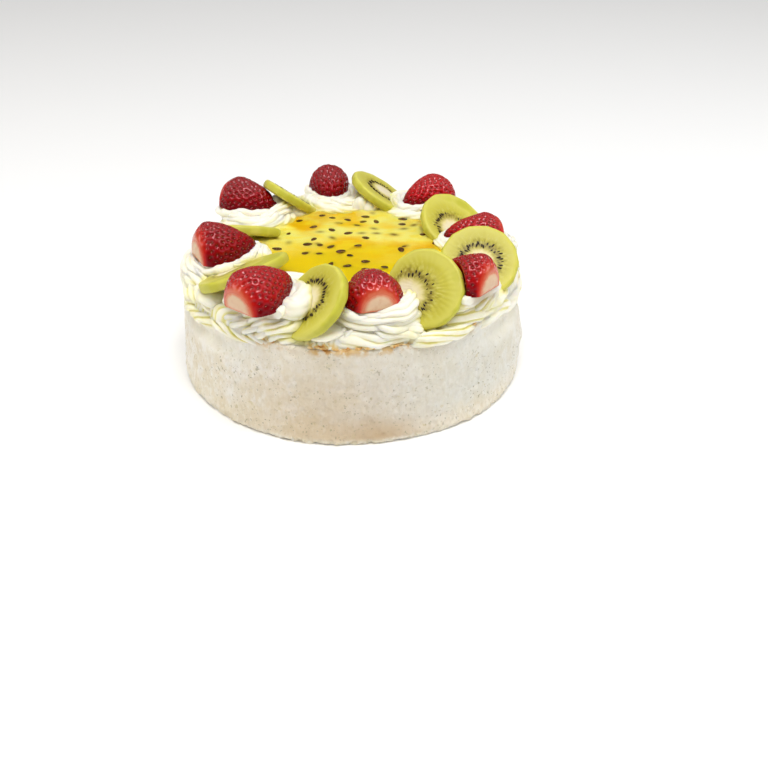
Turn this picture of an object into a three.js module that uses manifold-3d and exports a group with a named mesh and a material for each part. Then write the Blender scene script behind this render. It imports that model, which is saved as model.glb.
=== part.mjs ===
// A pavlova cake: a meringue drum with a spread layer of whipped cream, a ring of piped cream
// rosettes that each carry half a strawberry, kiwi slices leaning between them, and a pool of
// passionfruit topping in the middle. Millimetres, +Z up, the origin under the middle of the base.
import * as THREE from "three";
import Module from "manifold-3d";
import { mergeVertices } from "three/addons/utils/BufferGeometryUtils.js";

// Driving dimensions.
const CAKE_RADIUS = 109;
const DRUM_HEIGHT = 63;
const GAP = 0.4; // clearance between two pieces that touch

const CREAM_INSET = 3; // how far the spread cream stays inside the drum's wall
const CREAM_EDGE = 2.6; // thickness of the spread cream under the rosettes
const CREAM_MIDDLE = 10.5; // thickness of the spread cream under the topping
const MIDDLE_RADIUS = 61;

const TOPPING_DEPTH = 4.2;
const TOPPING_RADIUS = 63;

const ROSETTE_OUT = 80; // circle on which the rosettes stand
const ROSETTE_RADIUS = 28;
const ROSETTE_RIDGES = 7;
const RIDGE_DEPTH = 0.075; // share of the radius
const ROSETTE_TURN = 70; // degrees that the ridges turn on the way up
const BERRY_SINK = 1.2; // how far a berry is pressed into its rosette

const BERRY_LENGTH = 37;
const BERRY_WIDTH = 37;
const BERRY_DEPTH = 19; // from the cut face to the back

const KIWI_RADIUS = 24.5;
const KIWI_THICKNESS = 6;
const KIWI_BEVEL = 0.8;
const KIWI_OVAL = 0.96; // width against height
const KIWI_SIDES = 16; // strokes of the peeling knife

const DRUM_SEGMENTS = 58;
const CREAM_SEGMENTS = 40;
const SMALLEST_DETAIL = 0.06; // finer edges left by the cutting are merged

const rad = THREE.MathUtils.degToRad;

// Where the rosettes stand, in degrees anticlockwise from +X.
const ROSETTE_ANGLES = [5, 54, 98, 139, 192, 243, 279, 320];

// Half strawberries, tips roughly inward: angle round the cake, distance out and height of the
// middle of the cut face, size, depth against the usual, the bearing of the hull end, and how far
// the tip is raised. Angles are in degrees.
const BERRIES = [
  { angle: 7, out: 77, up: 80.5, size: 1.03, plump: 0.8, bearing: 8, tip: 0 },
  { angle: 54, out: 85, up: 81.5, size: 1.04, plump: 0.95, bearing: 38, tip: 3 },
  { angle: 99, out: 90, up: 81, size: 0.87, plump: 1.1, bearing: 97, tip: 0 },
  { angle: 136, out: 92, up: 81.5, size: 1.08, plump: 1.0, bearing: 158, tip: 0 },
  { angle: 192, out: 77, up: 82, size: 1.06, plump: 1.3, bearing: 206, tip: 3 },
  { angle: 239, out: 94.5, up: 85, size: 1.12, plump: 1.14, bearing: 229, tip: 8 },
  { angle: 277.5, out: 80, up: 83.5, size: 1.05, plump: 1.08, bearing: 284, tip: 4 },
  { angle: 314.5, out: 91.5, up: 84, size: 1.0, plump: 1.26, bearing: 320, tip: 2 },
];

// Kiwi slices, each leaning on the rosette that follows it: angle round the cake, distance out
// and height of the middle, size, and the bearing and the rise above level of the way it faces.
const KIWIS = [
  { angle: 22.3, out: 72.5, up: 79, size: 1.03, bearing: 316, rise: 55 },
  { angle: 75, out: 83, up: 80.5, size: 1.0, bearing: 4, rise: 57 },
  { angle: 121, out: 79, up: 83.5, size: 0.85, bearing: 32, rise: 52 },
  { angle: 161, out: 73, up: 77.5, size: 0.98, bearing: 85, rise: 62 },
  { angle: 217, out: 79, up: 83, size: 1.13, bearing: 140, rise: 65 },
  { angle: 257, out: 90, up: 82.5, size: 0.97, bearing: 206, rise: 42 },
  { angle: 299, out: 86, up: 84, size: 0.98, bearing: 248, rise: 38 },
  { angle: 334, out: 85, up: 83, size: 0.98, bearing: 264, rise: 48 },
];

// Where the drum's wall bulges or sinks: angle, height, half-widths and how far it stands out.
const LUMPS = [
  { angle: 355, up: 58, wide: 35, tall: 17, out: -4 },
  { angle: 195, up: 60, wide: 30, tall: 25, out: -1.2 },
  { angle: 345, up: 30, wide: 14, tall: 9, out: 2 },
  { angle: 262, up: 4, wide: 45, tall: 9, out: 1.5 },
];

const MATERIALS = {
  meringue: { color: 0xf0eadb, roughness: 0.85 },
  cream: { color: 0xf8f4e4, roughness: 0.5 },
  passionfruit: { color: 0xe9c60f, roughness: 0.1 },
  strawberry: { color: 0xb3141c, roughness: 0.3 },
  kiwi: { color: 0xbfc94a, roughness: 0.35 },
};

const wasm = await Module();
wasm.setup();

// A closed mesh from rings of points with the same count, each end closed by a fan.
function ringSolid(rings) {
  const count = rings[0].length;
  const points = rings.flat();
  const faces = [];
  for (let r = 0; r + 1 < rings.length; r++) {
    for (let i = 0; i < count; i++) {
      const a = r * count + i;
      const b = r * count + ((i + 1) % count);
      faces.push(a, b, b + count, a, b + count, a + count);
    }
  }
  const closeEnd = (ring, start, flip) => {
    const middle = ring.reduce((sum, p) => sum.add(p), new THREE.Vector3()).divideScalar(count);
    const m = points.push(middle) - 1;
    for (let i = 0; i < count; i++) {
      const a = start + i;
      const b = start + ((i + 1) % count);
      faces.push(...(flip ? [m, b, a] : [m, a, b]));
    }
  };
  closeEnd(rings[0], 0, true);
  closeEnd(rings.at(-1), (rings.length - 1) * count, false);
  const geometry = new THREE.BufferGeometry().setFromPoints(points);
  geometry.setIndex(faces);
  return geometry;
}

// A geometry, placed by a matrix, as a solid for cutting.
function toSolid(geometry, matrix) {
  const bare = new THREE.BufferGeometry()
    .setAttribute("position", geometry.getAttribute("position").clone())
    .setIndex(geometry.index)
    .applyMatrix4(matrix);
  const merged = mergeVertices(bare, 1e-4);
  return new wasm.Manifold(
    new wasm.Mesh({
      numProp: 3,
      vertProperties: merged.attributes.position.array,
      triVerts: new Uint32Array(merged.index.array),
    }),
  );
}

// The main piece of a solid, without the crumbs that cutting leaves, as a geometry in the frame
// of a matrix.
function toGeometry(solid, matrix) {
  const pieces = solid.decompose().sort((a, b) => b.volume() - a.volume());
  const mesh = pieces[0].simplify(SMALLEST_DETAIL).getMesh();
  const geometry = new THREE.BufferGeometry()
    .setAttribute("position", new THREE.BufferAttribute(mesh.vertProperties, 3))
    .setIndex(new THREE.BufferAttribute(mesh.triVerts, 1));
  return geometry.applyMatrix4(matrix.clone().invert());
}

// A slow wave round a circle, between about -1 and 1, that differs with each seed.
function wave(angle, seed) {
  return (
    0.5 * Math.sin(2 * angle + 1.7 * seed) +
    0.3 * Math.sin(3 * angle + 2.9 * seed) +
    0.2 * Math.sin(5 * angle + 4.3 * seed)
  );
}

// A soft hill that is 1 at its middle and fades out beyond a distance of 1.
function hill(distance) {
  return Math.exp(-distance * distance);
}

// How far the drum's wall stands out at an angle and a height.
function drumRadius(angle, height) {
  let radius = CAKE_RADIUS - 0.8 + wave(angle, 1) + 0.5 * wave(3 * angle, height / 20);
  for (const lump of LUMPS) {
    const turn = Math.atan2(Math.sin(angle - rad(lump.angle)), Math.cos(angle - rad(lump.angle)));
    radius += lump.out * hill(turn / rad(lump.wide)) * hill((height - lump.up) / lump.tall);
  }
  return radius;
}

// One ring of points, each made from its angle.
function circle(count, place) {
  return Array.from({ length: count }, (_, i) => place((i / count) * 2 * Math.PI));
}

// The meringue drum: an upright, slightly uneven wall with a rounded rim and foot. Each level is
// a height and how far the wall is set in there.
function meringueGeometry(grow) {
  const levels = [
    [0, -1.8],
    [1.5, -0.2],
    [5, 0.8],
    [13, 0.3],
    [27, 0],
    [42, 0],
    [55, 0],
    [61, -0.4],
    [DRUM_HEIGHT + grow, -2.4],
  ];
  return ringSolid(
    levels.map(([height, inset]) =>
      circle(DRUM_SEGMENTS, (angle) => {
        const radius = drumRadius(angle, height) + inset + grow;
        return new THREE.Vector3(radius * Math.cos(angle), radius * Math.sin(angle), height);
      }),
    ),
  );
}

// The cream spread over the drum: thin under the rosettes and thick in the middle.
function creamGeometry() {
  const base = DRUM_HEIGHT + GAP;
  const edge = CAKE_RADIUS - CREAM_INSET;
  const levels = [
    [edge - 2, base],
    [edge, base + 0.5 * CREAM_EDGE],
    [edge - 1.5, base + CREAM_EDGE],
    [MIDDLE_RADIUS + 6, base + CREAM_EDGE],
    [MIDDLE_RADIUS, base + 0.8 * CREAM_MIDDLE],
    [MIDDLE_RADIUS - 5, base + CREAM_MIDDLE],
  ];
  return ringSolid(
    levels.map(([radius, height]) =>
      circle(CREAM_SEGMENTS, (angle) => {
        const reach = radius + 0.9 * wave(4 * angle, 2);
        return new THREE.Vector3(reach * Math.cos(angle), reach * Math.sin(angle), height);
      }),
    ),
  );
}

// The passionfruit topping: a shallow pool that runs out between the rosettes.
function toppingGeometry() {
  const base = DRUM_HEIGHT + CREAM_MIDDLE + 2 * GAP;
  const levels = [
    [-8, base],
    [0, base + 0.4 * TOPPING_DEPTH],
    [-0.6, base + 0.8 * TOPPING_DEPTH],
    [-2.5, base + TOPPING_DEPTH],
  ];
  return ringSolid(
    levels.map(([inset, height]) =>
      circle(CREAM_SEGMENTS, (angle) => {
        const radius = TOPPING_RADIUS + inset + 1.6 * wave(angle, 3);
        return new THREE.Vector3(radius * Math.cos(angle), radius * Math.sin(angle), height);
      }),
    ),
  );
}

// A piped rosette: a star-shaped section that turns and narrows as it rises.
function rosetteGeometry(height, turn, grow) {
  const segments = 3 * ROSETTE_RIDGES;
  const profile = [
    [0.92, 0],
    [1.0, 0.18],
    [0.95, 0.45],
    [0.78, 0.7],
    [0.5, 0.9],
    [0.2, 1.0],
  ];
  return ringSolid(
    profile.map(([share, rise]) =>
      circle(segments, (angle) => {
        const ridge = 1 + RIDGE_DEPTH * Math.cos(ROSETTE_RIDGES * angle);
        const radius = share * ROSETTE_RADIUS * ridge + grow;
        const twisted = angle + turn + rad(ROSETTE_TURN) * rise;
        return new THREE.Vector3(
          radius * Math.cos(twisted),
          radius * Math.sin(twisted),
          rise * (height + grow),
        );
      }),
    ),
  );
}

// Half a hulled strawberry lying on its cut face: the hull's cut at +X, the tip at -X.
function berryGeometry({ size, plump }, grow) {
  const stations = [0, 0.06, 0.2, 0.38, 0.58, 0.76, 0.89, 0.965, 1];
  const arcs = 9;
  return ringSolid(
    stations.map((t, station) => {
      const shoulder = 0.62 + 0.38 * Math.sin((Math.PI / 2) * Math.min(1, t / 0.3));
      const taper = Math.pow(1 - Math.pow(0.985 * t, 2.3), 0.68);
      const girth = shoulder * taper;
      const pushed = station === 0 ? grow : station === stations.length - 1 ? -grow : 0;
      const x = size * BERRY_LENGTH * (0.5 - t) + pushed;
      return Array.from({ length: arcs + 1 }, (_, i) => {
        const around = (i / arcs) * Math.PI;
        const y = -(0.5 * size * BERRY_WIDTH * girth + grow) * Math.cos(around);
        const z = (size * plump * BERRY_DEPTH * girth + grow) * Math.sin(around);
        return new THREE.Vector3(x, y, i === 0 || i === arcs ? -grow : z);
      });
    }),
  );
}

// A kiwi slice with the flat facets that the peeling knife leaves.
function kiwiGeometry({ size }, seed, grow) {
  const half = KIWI_THICKNESS / 2 + grow;
  const levels = [
    [-KIWI_BEVEL, -half],
    [0, KIWI_BEVEL - half],
    [0, half - KIWI_BEVEL],
    [-KIWI_BEVEL, half],
  ];
  return ringSolid(
    levels.map(([inset, height]) =>
      circle(KIWI_SIDES, (angle) => {
        const uneven = 0.03 * wave(angle, seed);
        const radius = size * KIWI_RADIUS * (1 + uneven) + inset + grow;
        return new THREE.Vector3(
          radius * Math.cos(angle),
          KIWI_OVAL * radius * Math.sin(angle),
          height,
        );
      }),
    ),
  );
}

// The place at an angle round the cake, a distance out and a height.
function station({ angle, out, up }) {
  return new THREE.Matrix4().makeTranslation(out * Math.cos(rad(angle)), out * Math.sin(rad(angle)), up);
}

// A turn that tips +X down by a pitch, then swings it round to a bearing.
function turned(pitch, bearing) {
  return new THREE.Matrix4().makeRotationFromEuler(new THREE.Euler(0, rad(pitch), rad(bearing), "ZYX"));
}

function material(name) {
  return new THREE.MeshStandardMaterial({ metalness: 0, ...MATERIALS[name] });
}

function addMesh(parent, name, kind, solid, matrix) {
  const mesh = new THREE.Mesh(toGeometry(solid, matrix), material(kind));
  mesh.name = name;
  mesh.applyMatrix4(matrix);
  parent.add(mesh);
}

function cutBy(solid, cutters) {
  return cutters.reduce((left, cutter) => left.subtract(cutter), solid);
}

const level = new THREE.Matrix4();

// A piece's solid, the slightly larger solid that clears room for it, and its matrix.
function piece(matrix, shape) {
  return { matrix, solid: toSolid(shape(0), matrix), cutter: toSolid(shape(GAP), matrix) };
}

const berries = BERRIES.map((berry) =>
  piece(station(berry).multiply(turned(berry.tip, berry.bearing)), (grow) => berryGeometry(berry, grow)),
);

const kiwis = KIWIS.map((kiwi, i) =>
  piece(station(kiwi).multiply(turned(90 - kiwi.rise, kiwi.bearing)), (grow) =>
    kiwiGeometry(kiwi, i, grow),
  ),
);

// Each rosette is as tall as the seat of the berry that it carries.
const rosettes = ROSETTE_ANGLES.map((angle, i) => {
  const up = DRUM_HEIGHT + CREAM_EDGE + 2 * GAP;
  const height = BERRIES[i].up + BERRY_SINK - up;
  return piece(station({ angle, out: ROSETTE_OUT, up }), (grow) => rosetteGeometry(height, i, grow));
});

const berryCutters = berries.map(({ cutter }) => cutter);
const kiwiCutters = kiwis.map(({ cutter }) => cutter);
const rosetteCutters = rosettes.map(({ cutter }) => cutter);

const pavlova = new THREE.Group();
pavlova.name = "pavlova";
const drum = piece(level, meringueGeometry);
addMesh(pavlova, "meringue_base", "meringue", drum.solid, level);
const cream = cutBy(toSolid(creamGeometry(), level), [...rosetteCutters, ...kiwiCutters]);
addMesh(pavlova, "cream_layer", "cream", cream, level);
const topping = cutBy(toSolid(toppingGeometry(), level), [
  ...rosetteCutters,
  ...kiwiCutters,
  ...berryCutters,
]);
addMesh(pavlova, "passionfruit_topping", "passionfruit", topping, level);
rosettes.forEach(({ matrix, solid }, i) => {
  const neighbours = [...berryCutters, ...kiwiCutters, ...rosetteCutters.slice(0, i)];
  addMesh(pavlova, `rosette_${i + 1}`, "cream", cutBy(solid, neighbours), matrix);
});
berries.forEach(({ matrix, solid }, i) => {
  addMesh(pavlova, `strawberry_${i + 1}`, "strawberry", solid, matrix);
});
kiwis.forEach(({ matrix, solid }, i) => {
  const neighbours = [drum.cutter, ...berryCutters, ...kiwiCutters.slice(0, i)];
  addMesh(pavlova, `kiwi_${i + 1}`, "kiwi", cutBy(solid, neighbours), matrix);
});

export default pavlova;
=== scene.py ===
import math

import bpy
import numpy as np
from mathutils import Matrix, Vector


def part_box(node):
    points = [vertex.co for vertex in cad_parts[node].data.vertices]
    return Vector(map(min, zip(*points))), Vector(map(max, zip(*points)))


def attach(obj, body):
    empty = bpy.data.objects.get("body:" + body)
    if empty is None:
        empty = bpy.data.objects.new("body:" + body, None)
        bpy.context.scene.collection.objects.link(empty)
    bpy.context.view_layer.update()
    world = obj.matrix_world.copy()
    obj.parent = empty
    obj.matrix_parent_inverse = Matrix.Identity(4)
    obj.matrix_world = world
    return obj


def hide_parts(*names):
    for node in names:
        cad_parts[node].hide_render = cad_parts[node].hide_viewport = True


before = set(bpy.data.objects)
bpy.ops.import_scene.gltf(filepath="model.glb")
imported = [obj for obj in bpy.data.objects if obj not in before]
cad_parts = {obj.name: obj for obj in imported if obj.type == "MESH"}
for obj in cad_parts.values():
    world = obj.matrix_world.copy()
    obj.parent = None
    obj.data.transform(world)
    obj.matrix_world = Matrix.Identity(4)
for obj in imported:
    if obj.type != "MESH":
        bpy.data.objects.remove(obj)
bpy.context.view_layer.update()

MM = 0.001
TAU = 2 * math.pi

# Meringue wall.
WALL_COLUMNS = 900
WALL_ROWS = 92
WALL_PIT_DEPTH = 0.42
WALL_SMOOTH = 31  # columns over which the CAD's flats are smoothed away
WALL_INSET = 1.15  # room for the bumps inside the CAD's wall
RIM_ROUND = 2.6
FOOT_ROUND = 1.6
WALL_FRONT = 275  # bearing of the side where no cream hangs over the rim

# Piped cream.
ROPE_STEP = 0.75  # along the rope
ROPE_AROUND = 96
ROPE_THICK = 7.8  # radius at the start of a swirl
ROPE_THIN = 6.2
SWIRL_TURNS = 2.1
SWIRL_RADIUS = 28.4
SWIRL_RIDGES = 9
HEAP_RADIUS = 17
HEAP_ROWS = 24
HEAP_COLUMNS = 72
SWIRL_TWISTS = [9, -16, 12, -14, 18, -26, 8, -15]  # how far each swirl's rope is wrung
SPREAD_INNER = 50.0
SPREAD_HEIGHT = 8.0
CREAM_ROWS = 84
CREAM_COLUMNS = 1080
COLLAR_POINTS = 240
COLLAR_SIDES = 24

# Ropes of cream that hug a berry: its number, the bearings from and to, the distance from the
# berry's middle, the rope's radius, its height against the cut face, and its ridges' depth.
HUGS = [
    (1, 140, 260, 21, 4.0, -5, 0.25),
    (2, 105, 235, 22, 5.8, -5, 0.3),
    (3, 150, 400, 20, 5.8, -6, 0.32),
    (4, -80, 52, 23.2, 6.6, -1.6, 0.34),
    (5, -70, 65, 21, 5.0, -3.5, 0.2),
    (6, -100, 85, 20.5, 7.2, -3, 0.08),
    (7, -95, 50, 22.5, 6.8, -4.5, 0.22),
    (8, -110, 20, 20, 6.8, -6.5, 0.08),
]

HUG_REACH = 105.5  # how far out a hug's outer side may lie

# Cream between two rosettes, below a kiwi slice: bearing, distance out, height of its top, radius.
FILLS = [
    (121, 69, 77, 12),
    (84, 70, 77, 12),
    (106, 76, 76, 12),
    (119, 91, 80, 12),
    (114, 79, 77.5, 12),
    (214, 96, 77, 12),
    (261, 97, 73, 12),
    (149, 70, 75, 12),
    (128.5, 80, 88.5, 6),
    (127, 71, 86.5, 6),
    (123, 66, 84, 6),
    (119, 65.5, 81.5, 5.5),
    (84, 66, 85, 6),
    (78, 64, 82.5, 6),
]
FILL_FOOT = 66  # height of its foot

# Ropes of cream along the rim: bearings from and to, distance out, height, radius, and how deep,
# how far wrung and how many their ridges are.
LIPS = [
    (-14, 24, 100.5, 67.5, 5.6, 0.34, 10, 8),
    (34, 74, 100.5, 67.5, 5.8, 0.34, -12, 8),
    (80, 118, 100.5, 67.5, 5.6, 0.34, 11, 8),
    (126, 158, 100.5, 67.5, 5.8, 0.34, -12, 8),
    (168, 220, 100.8, 67, 7.2, 0.5, 11, 5),
    (222, 254, 100.5, 67, 7.0, 0.5, -8, 5),
    (262, 294, 101, 67, 5.8, 0.3, 3, 6),
    (300, 338, 101, 66.8, 6.2, 0.25, 2.5, 6),
    (160, 192, 102.4, 59, 5.6, 0.45, 7, 5),
    (188, 222, 102.2, 57.5, 5.8, 0.45, -8, 5),
    (217, 244, 102.4, 60.5, 5.0, 0.45, 6, 5),
    (287, 314, 103.9, 61.5, 4.6, 0.3, 2.5, 6),
    (308, 336, 102.6, 60.5, 5.0, 0.2, 2, 6),
    (328, 372, 102.2, 58, 5.8, 0.1, 1, 6),
    (7, 46, 102.4, 58.5, 5.6, 0.4, 7, 5),
    (41, 80, 102.4, 59, 5.4, 0.4, -7, 5),
    (75, 122, 102.2, 58.5, 5.6, 0.4, 8, 5),
    (117, 165, 102.4, 58.5, 5.6, 0.4, -8, 5),
]
EDGE_REACH = 108.4  # no cream reaches farther out

# Where the rim is toasted: bearing, half-width and strength.
TOASTED = [
    (261, 4.5, 1.0),
    (268, 3, 0.8),
    (283, 9, 0.6),
    (307, 8, 0.5),
    (243, 8, 0.55),
    (233, 5, 0.4),
    (330, 4, 0.4),
]

# Strawberries.
BERRY_ROWS = 120
BERRY_ARC = 150
BERRY_FLOOR = 26
BERRY_SEEDS = 235  # on a whole berry of usual length
USUAL_LENGTH = 37
BERRY_SEED = (1.15, 0.6, 0.4)  # length, width and height
BERRY_RIPE = [0.35, 0.1, 0.95, 1.0, 0.9, 0.45, 0.65, 0.6]  # how dark each berry's skin is
BERRY_POINT = [0.4, 0.8, 0.1, 0.9, 1.0, 0.4, 0.4, 0.9]  # how pointed each berry is
HULL_SHARES = [0.04, 0.2, 0.4, 0.55, 0.7, 0.8, 0.88, 0.94, 0.98]  # rings of the hull's cut face
HULL_ROUND = 0.07  # share of the length over which the hull end is rounded off
HULL_ROWS = 13  # in that share
PRESSED = {8: 7}  # berries that a kiwi slice lies on, and that slice
PIT_DEPTH = 1.15
PIT_RADIUS = 1.2

# Kiwi slices.
KIWI_RINGS = 46
KIWI_SPOKES = 180
KIWI_SEEDS = 46
KIWI_SEED = (2.8, 1.3, 1.0)  # length, width and height
KIWI_STROKES = 13  # flat strokes of the peeling knife round a slice
KIWI_RAYS = 34  # ridges that run out from the core
KIWI_BEVEL = 1.9
KIWI_RIM = 0.8  # added to the CAD's radius, since the knife's strokes take some off
SEEDLESS = 5  # this slice is cut from an end, without seeds
SEED_RING = 11.3  # radius
SEED_REACH = 0.47  # where the ring of seeds lies in the kiwi's colours
# Each slice's core: how far it lies across and up the slope from the middle, and how much it is
# stretched those two ways.
CORES = [
    (-6, -3, 1.0, 1.0),
    (0, 0, 1.0, 1.0),
    (0, 0, 1.0, 1.0),
    (0, -4, 1.0, 1.0),
    (0, -15, 1.0, 1.0),
    (-2, 0, 1.0, 1.05),
    (-9.5, -4.5, 1.3, 1.12),
    (0, -1, 1.05, 1.0),
]

# Passionfruit pool.
POOL_STEP = 0.8
SPILL_REACH = 9  # how far the topping has run out under the kiwi on one side
SPILL_BEARING = 178
SPILL_HALF = 17
JELLY_STEP = 1.1
PIPS = 58
PIP_TRIES = 4000
PIP_APART = 6.5
PIP = (5.8, 3.6, 2.0)  # length, width and height

FLAKE_TRIES = 420  # most of them fall where the rim isn't toasted

# Studio, in metres.
CAMERA_PLACE = (0.0020, -0.6396, 0.3613)
CAMERA_AHEAD = (0.0248, 0.8566, -0.5153)
CAMERA_LENS = 51.85
LIT_PLACE = (0, 0, 0.05)  # where the lamps point
FLOOR_HALF = 12.0


# ---------- numbers

def hashed(ix, iy, iz, seed):
    """A fixed pseudo-random number from 0 to 1 for each lattice point."""
    n = (ix * 374761393 + iy * 668265263 + iz * 1442695041 + seed * 982451653) & 0xFFFFFFFF
    n = ((n ^ (n >> 13)) * 1274126177) & 0xFFFFFFFF
    n = ((n ^ (n >> 15)) * 668265263) & 0xFFFFFFFF
    return (n ^ (n >> 16)) / 0xFFFFFFFF


def noise(points, size, seed):
    """Smooth noise from -1 to 1 whose hills are about a size apart."""
    scaled = np.asarray(points, float) / size
    base = np.floor(scaled).astype(np.int64)
    part = scaled - base
    part = part * part * (3 - 2 * part)
    total = np.zeros(scaled.shape[:-1])
    for corner in np.ndindex(2, 2, 2):
        weight = np.prod(np.where(corner, part, 1 - part), axis=-1)
        at = base + np.array(corner)
        total += weight * hashed(at[..., 0], at[..., 1], at[..., 2], seed)
    return 2 * total - 1


def layered_noise(points, size, seed, layers=3):
    """Noise with finer and finer layers."""
    total, share = 0, 0
    for layer in range(layers):
        strength = 0.5 ** layer
        total = total + strength * noise(points, size * 0.5 ** layer, seed + 17 * layer)
        share += strength
    return total / share


def step_between(low, high, value):
    """0 below low, 1 above high, and smooth in between."""
    t = np.clip((value - low) / (high - low), 0, 1)
    return t * t * (3 - 2 * t)


def wrapped(angle):
    """An angle brought between -pi and pi."""
    return (angle + math.pi) % TAU - math.pi


def shaken(points, size, seeds):
    """Three noises, which shift each point along X, Y and Z."""
    return np.stack([noise(points, size, seed) for seed in seeds], -1)


def near_bearing(turn, bearing, half_width):
    """1 at a bearing given in degrees, fading out on both sides of it."""
    apart = wrapped(turn - math.radians(bearing)) / math.radians(half_width)
    return np.exp(-apart ** 2)


def unit(vectors):
    """Vectors, each brought to a length of 1."""
    return vectors / np.linalg.norm(vectors, axis=-1, keepdims=True)


def round_angles(count):
    """Evenly spaced angles, once round."""
    return np.arange(count) / count * TAU


def circle(angles):
    """Points of a flat circle of radius 1."""
    return np.stack([np.cos(angles), np.sin(angles), 0 * angles], -1)


def reach_of(points):
    """How far points are from the Z axis."""
    return np.hypot(points[..., 0], points[..., 1])


def toast_at(turn):
    """How toasted the rim is at each bearing, 0 to 1."""
    total = 0.5 * step_between(0.15, 0.65, noise(40 * circle(turn), 9, 19))
    for bearing, half_width, strength in TOASTED:
        total = np.maximum(total, strength * near_bearing(turn, bearing, half_width))
    return total


# ---------- the frame

def node_points(name):
    """A node's corners, in millimetres."""
    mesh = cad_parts[name].data
    points = np.array([v.co for v in mesh.vertices], float).reshape(-1, 3) / MM
    return np.unique(points.round(3), axis=0)


def flat_faces(name):
    """The flat faces of a node, largest first, each as (area, normal, points)."""
    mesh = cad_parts[name].data
    found = []
    for polygon in sorted(mesh.polygons, key=lambda p: -p.area):
        normal = np.array(polygon.normal)
        corners = [np.array(mesh.vertices[i].co) / MM for i in polygon.vertices]
        for face in found:
            if face["normal"] @ normal > 0.9999 and abs((corners[0] - face["points"][0]) @ normal) < 0.05:
                face["area"] += polygon.area
                face["points"] += corners
                break
        else:
            found.append({"area": polygon.area, "normal": normal, "points": corners})
    found.sort(key=lambda f: -f["area"])
    return [(f["area"], f["normal"], np.array(f["points"])) for f in found[:6]]


def fit_circle(points, tolerance, seed, low, high):
    """Centre and radius of the circle that most of the flat points lie on."""
    rng = np.random.default_rng(seed)
    best, chosen = -1, None
    for _ in range(600):
        a, b, c = points[rng.choice(len(points), 3, replace=False)]
        lines = np.array([b - a, c - a])
        if abs(np.linalg.det(lines)) < 1:
            continue
        centre = np.linalg.solve(2 * lines, [b @ b - a @ a, c @ c - a @ a])
        radius = np.linalg.norm(a - centre)
        if not low < radius < high:
            continue
        inside = abs(np.linalg.norm(points - centre, axis=1) - radius) < tolerance
        if inside.sum() > best:
            best, chosen = inside.sum(), inside
    kept = points[chosen]
    system = np.c_[2 * kept, np.ones(len(kept))]
    x, y, rest = np.linalg.lstsq(system, (kept ** 2).sum(1), rcond=None)[0]
    return np.array([x, y]), math.sqrt(rest + x * x + y * y)


def berry_pose(name):
    """Pose and size of a half berry: hull end at +X, cut face down."""
    faces = flat_faces(name)
    up = -faces[0][1]
    ahead = unit(faces[1][1] - (faces[1][1] @ up) * up)
    side = np.cross(up, ahead)
    axes = np.array([ahead, side, up])
    local = node_points(name) @ axes.T
    low, high = local.min(0), local.max(0)
    middle = [(low[0] + high[0]) / 2, (low[1] + high[1]) / 2, low[2]]
    length, width, depth = high - low
    number = int(name.split("_")[-1])
    return {
        "axes": axes,
        "origin": np.array(middle) @ axes,
        "length": length,
        "width": width,
        "depth": depth,
        "ripe": BERRY_RIPE[number - 1],
        "point": BERRY_POINT[number - 1],
    }


def kiwi_pose(name, seed):
    """Pose and size of a kiwi slice: its upper face looks along +Z."""
    _, up, points = max(flat_faces(name)[:2], key=lambda f: f[1][2])
    side = unit(np.cross([0, 0, 1], up))
    ahead = np.cross(side, up)
    axes = np.array([side, -ahead, up])
    local = node_points(name) @ axes.T
    flat = (points @ axes.T)[:, :2]
    centre, radius = fit_circle(flat, 0.7, seed, 17, 30)
    high = local[:, 2].max()
    thickness = high - local[:, 2].min()
    origin = np.array([centre[0], centre[1], high - thickness / 2]) @ axes
    return {"axes": axes, "origin": origin, "radius": radius + KIWI_RIM, "thickness": thickness}


# ---------- meshes

def grid_faces(rows, columns, closed=True):
    """Quads of a grid of points whose rows, if closed, join up."""
    last = columns if closed else columns - 1
    r, c = np.meshgrid(np.arange(rows - 1), np.arange(last), indexing="ij")
    a = r * columns + c
    b = r * columns + (c + 1) % columns
    return np.stack([a, b, b + columns, a + columns], -1).reshape(-1, 4).tolist()


def closed_tube(rows, columns):
    """Faces of a grid whose rows are rings, with both ends closed."""
    first = list(range(columns))[::-1]
    last = list(range((rows - 1) * columns, rows * columns))
    return grid_faces(rows, columns) + [first, last]


def facing_out(points, faces):
    """The faces, turned over if they face into the solid."""
    volume = 0.0
    by_count = {}
    for face in faces:
        by_count.setdefault(len(face), []).append(face)
    for count, some in by_count.items():
        corners = points[np.array(some)]
        for k in range(1, count - 1):
            across = np.cross(corners[:, k], corners[:, k + 1])
            volume += np.einsum("ij,ij->i", corners[:, 0], across).sum()
    return faces if volume > 0 else [face[::-1] for face in faces]


def add_object(name, data):
    made = bpy.data.objects.new(name, data)
    bpy.context.scene.collection.objects.link(made)
    return made


def add_piece(name, points, faces, material, slot, pose=None, layers=None, stands_for=()):
    """A shown mesh, from points in millimetres, that rides on the body."""
    points = points.reshape(-1, 3)
    if pose:
        points = points @ pose["axes"] + pose["origin"]
    mesh = bpy.data.meshes.new(name)
    mesh.from_pydata((points * MM).tolist(), [], facing_out(points, faces))
    for key, values in (layers or {}).items():
        layer = mesh.attributes.new(key, "FLOAT", "POINT")
        layer.data.foreach_set("value", np.asarray(values, np.float32).ravel())
    mesh.polygons.foreach_set("use_smooth", [True] * len(mesh.polygons))
    mesh.materials.append(material)
    mesh.update()
    made = add_object(name, mesh)
    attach(made, "root")
    if stands_for:
        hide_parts(*stands_for)


def joined(parts):
    """Several (points, faces) as one."""
    points, faces, start = [], [], 0
    for some_points, some_faces in parts:
        points.append(some_points)
        faces += [[i + start for i in face] for face in some_faces]
        start += len(some_points)
    return np.concatenate(points), faces


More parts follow.
